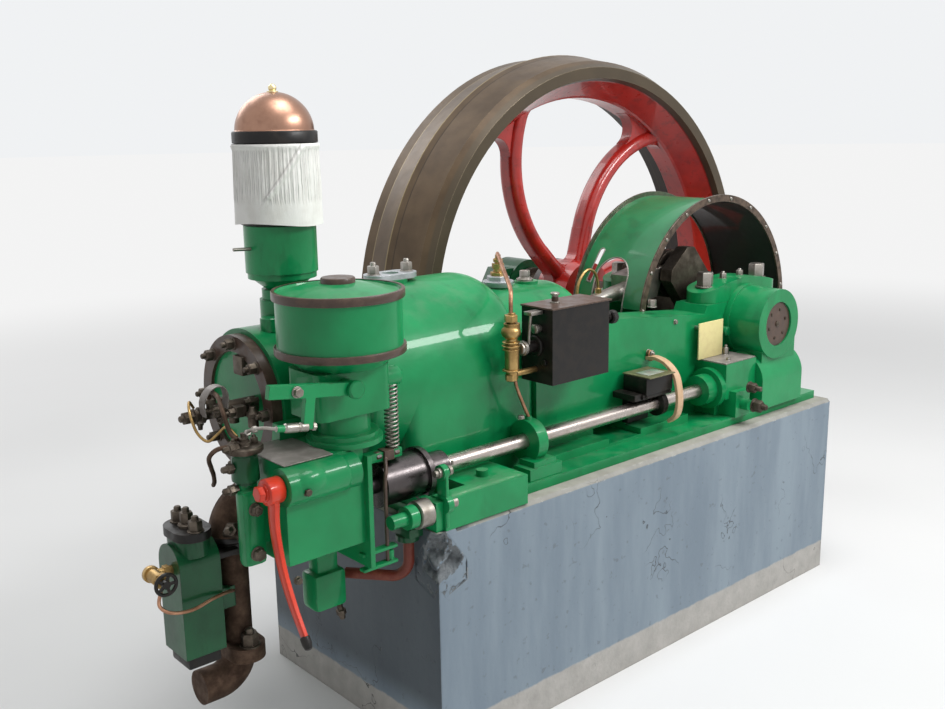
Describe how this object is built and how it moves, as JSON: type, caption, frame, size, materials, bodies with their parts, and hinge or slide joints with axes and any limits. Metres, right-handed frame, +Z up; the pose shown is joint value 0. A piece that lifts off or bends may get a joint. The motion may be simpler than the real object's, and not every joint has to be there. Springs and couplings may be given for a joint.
{
  "type": "horizontal single-cylinder stationary oil engine",
  "caption": "Horizontal open-crank stationary oil engine with flywheel, side shaft and governor on a concrete plinth; the crank, flywheel and side shaft turn together.",
  "frame": {"origin": "on the floor under the crankshaft's axis, in the upright plane through the cylinder's axis, on the plinth's underside", "axes": "+X along the cylinder from its head toward the crank, +Y across the engine toward the flywheel, +Z up"},
  "size_m": [2.843, 1.4076, 1.73],
  "materials": {
    "green_paint": "gloss emerald green machine paint, brushed on, chipped and oily at the edges",
    "concrete": "concrete, painted blue grey on its sides with cracks and a chipped corner, dusty and bare on top",
    "bare_steel": "bright turned steel with a thin brown film",
    "oiled_iron": "near-black brown oiled sheet iron",
    "red_paint": "gloss signal red paint; the flywheel's rim is bare and oiled",
    "brass": "polished brass with brown tarnish",
    "copper": "spun copper, mottled brown",
    "cloth": "white cloth with fine dark stripes and folds",
    "leather": "tan strip",
    "black_case": "black moulded case",
    "black_iron": "bare iron, dark brown with oil and rust",
    "galvanised": "pale grey cast flange",
    "bronze_paint": "bare iron with a brown varnish"
  },
  "bodies": {
    "engine": {"plinth": "concrete", "outboard_pier": "concrete", "bed": "green_paint", "side_box": "green_paint", "cylinder_jacket": "green_paint", "cylinder_head": "green_paint", "head_ring": "bronze_paint", "bearing_caps": "green_paint", "outboard_bearing": "green_paint", "crank_guard": "green_paint", "gear_case": "green_paint", "gear_case_cover": "bronze_paint", "shaft_gear_box": "green_paint", "shaft_bearing": "green_paint", "lubricator": "oiled_iron", "lubricator_lid": "bronze_paint", "sight_pump": "brass", "revolution_counter": "black_case", "counter_strap": "leather", "water_flange": "galvanised", "cylinder_oiler": "brass", "air_pot": "green_paint", "filter_cloth": "cloth", "air_dome": "copper", "governor_drum": "green_paint", "governor_body": "green_paint", "governor_spring": "bare_steel", "control_box": "green_paint", "rocker_arm": "green_paint", "fuel_pump": "green_paint", "injector": "oiled_iron", "cam_bracket": "green_paint", "exhaust_pipe": "black_iron", "filter_box": "green_paint", "filter_cap": "black_iron", "stop_valve": "brass", "drain_pipe": "red_paint", "connecting_rod": "bare_steel", "piston": "bare_steel"},
    "crank": {"crankshaft": "black_iron", "flywheel": "red_paint"},
    "big_end_block": {"big_end": "black_iron"},
    "side_shaft_line": {"side_shaft": "bare_steel"},
    "hand_lever_arm": {"hand_lever": "red_paint"},
    "valve_wheel": {"handwheel": "black_iron"}
  },
  "joints": [
    {"name": "crank_turn", "type": "hinge", "parent": "engine", "child": "crank", "pos_m": [0, 0, 0.872], "axis": [0, 1, 0], "continuous": true},
    {"name": "big_end_turn", "type": "hinge", "parent": "crank", "child": "big_end_block", "pos_m": [-0.12137, 0, 1.01162], "axis": [0, 1, 0], "continuous": true},
    {"name": "side_shaft_turn", "type": "hinge", "parent": "engine", "child": "side_shaft_line", "pos_m": [-1.2, -0.285, 0.701], "axis": [1, 0, 0], "continuous": true},
    {"name": "hand_lever_swing", "type": "hinge", "parent": "engine", "child": "hand_lever_arm", "pos_m": [-1.806, -0.359, 0.783], "axis": [1, 0, 0], "range_deg": [-35, 18]},
    {"name": "valve_wheel_turn", "type": "hinge", "parent": "engine", "child": "valve_wheel", "pos_m": [-1.958, -0.12, 0.548], "axis": [0, 1, 0], "range_deg": [0, 720]}
  ],
  "couplings": [
    {"joint": "big_end_turn", "follows": "crank_turn", "ratio": -1},
    {"joint": "side_shaft_turn", "follows": "crank_turn", "ratio": 0.5}
  ]
}
